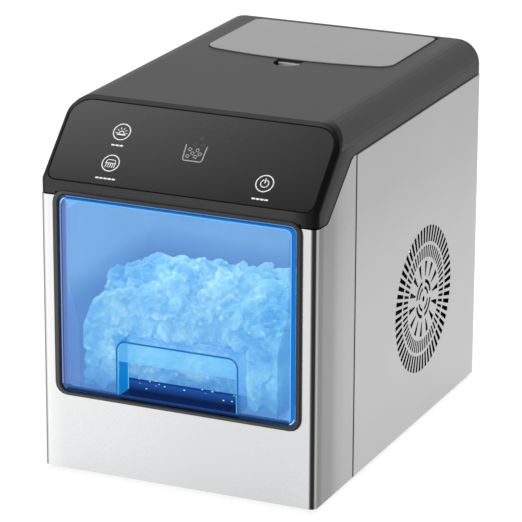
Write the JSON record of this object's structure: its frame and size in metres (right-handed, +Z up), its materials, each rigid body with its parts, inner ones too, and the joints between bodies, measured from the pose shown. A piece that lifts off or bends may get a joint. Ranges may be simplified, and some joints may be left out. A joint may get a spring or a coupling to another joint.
{
  "type": "countertop ice maker",
  "caption": "Countertop nugget ice maker with a steel cabinet, pull-out clear ice drawer, hinged water tank lid, freezing works and cooling fan inside.",
  "frame": {"origin": "middle of the bounding box on the surface the feet stand on", "axes": "+X to the right seen from the front, +Y from the drawer front to the back, +Z up"},
  "size_m": [0.24, 0.357, 0.305],
  "materials": {
    "steel": "bright satin stainless steel",
    "side_steel": "satin stainless sheet",
    "black_plastic": "satin charcoal ABS",
    "gloss_black": "gloss panel with light printed marks",
    "blue_clear": "clear acrylic, tinted and edge-lit blue",
    "clear": "clear polycarbonate",
    "grey_lid": "light grey plastic",
    "white_plastic": "white food-grade polypropylene",
    "rubber": "black rubber",
    "zinc": "zinc-plated steel",
    "black_paint": "black enamel",
    "aluminium": "plain aluminium",
    "copper": "copper pipe",
    "foam": "closed-cell insulation",
    "silicone": "clear silicone hose",
    "board": "green circuit board",
    "brass": "brass and bronze",
    "led": "milky LED cover"
  },
  "bodies": {
    "cabinet": {"front_frame": "steel", "freezing_barrel": "steel", "extruder_head": "steel", "side_panel_right": "side_steel", "side_panel_left": "side_steel", "rear_panel": "side_steel", "top_cover": "black_plastic", "window_bezel": "black_plastic", "bin_full_sensor": "black_plastic", "drain_fitting": "black_plastic", "water_pump": "black_plastic", "fan_frame": "black_plastic", "cord_gland": "black_plastic", "control_panel": "gloss_black", "bin_liner": "white_plastic", "drawer_runner_left": "white_plastic", "drawer_runner_right": "white_plastic", "melt_tank": "white_plastic", "water_tank": "white_plastic", "tank_filter": "white_plastic", "ice_chute": "white_plastic", "foot_front_left": "rubber", "foot_rear_left": "rubber", "foot_front_right": "rubber", "foot_rear_right": "rubber", "compressor_grommet_1": "rubber", "compressor_grommet_2": "rubber", "compressor_grommet_3": "rubber", "compressor_grommet_4": "rubber", "base_pan": "zinc", "rear_screw_1": "zinc", "rear_screw_2": "zinc", "rear_screw_3": "zinc", "rear_screw_4": "zinc", "lid_hinge_pin": "zinc", "drive_motor": "zinc", "fan_motor": "zinc", "compressor": "black_paint", "gearbox_housing": "aluminium", "gearbox_cover": "aluminium", "condenser": "aluminium", "discharge_tube": "copper", "suction_tube": "copper", "liquid_line": "copper", "barrel_insulation": "foam", "drain_hose": "silicone", "feed_hose": "silicone", "control_board": "board", "power_board": "board", "lower_bearing": "brass", "upper_bearing": "brass", "led_strip": "led"},
    "drawer": {"drawer_window": "blue_clear", "ice_basket": "clear"},
    "lid": {"tank_lid": "grey_lid"},
    "fan": {"fan_rotor": "black_plastic"},
    "screw": {"auger": "steel", "auger_gear": "brass"},
    "pinion": {"motor_pinion": "steel"},
    "plug": {"drain_plug": "rubber"}
  },
  "joints": [
    {"name": "drawer_slide", "type": "slide", "parent": "cabinet", "child": "drawer", "axis": [0, -1, 0], "range_m": [0, 0.14]},
    {"name": "lid_hinge", "type": "hinge", "parent": "cabinet", "child": "lid", "pos_m": [0, 0.163, 0.301], "axis": [-1, 0, 0], "range_deg": [0, 95]},
    {"name": "fan_spin", "type": "hinge", "parent": "cabinet", "child": "fan", "pos_m": [0.1, 0.0502, 0.1098], "axis": [1, 0, 0], "continuous": true},
    {"name": "auger_spin", "type": "hinge", "parent": "cabinet", "child": "screw", "pos_m": [-0.062, 0.0275, 0.124], "axis": [0, 0, 1], "continuous": true},
    {"name": "pinion_spin", "type": "hinge", "parent": "cabinet", "child": "pinion", "pos_m": [-0.062, 0.0875, 0.044], "axis": [0, 0, 1], "continuous": true},
    {"name": "plug_pull", "type": "slide", "parent": "cabinet", "child": "plug", "axis": [0, 1, 0], "range_m": [0, 0.03]}
  ],
  "couplings": [
    {"joint": "pinion_spin", "follows": "auger_spin", "ratio": -4}
  ]
}
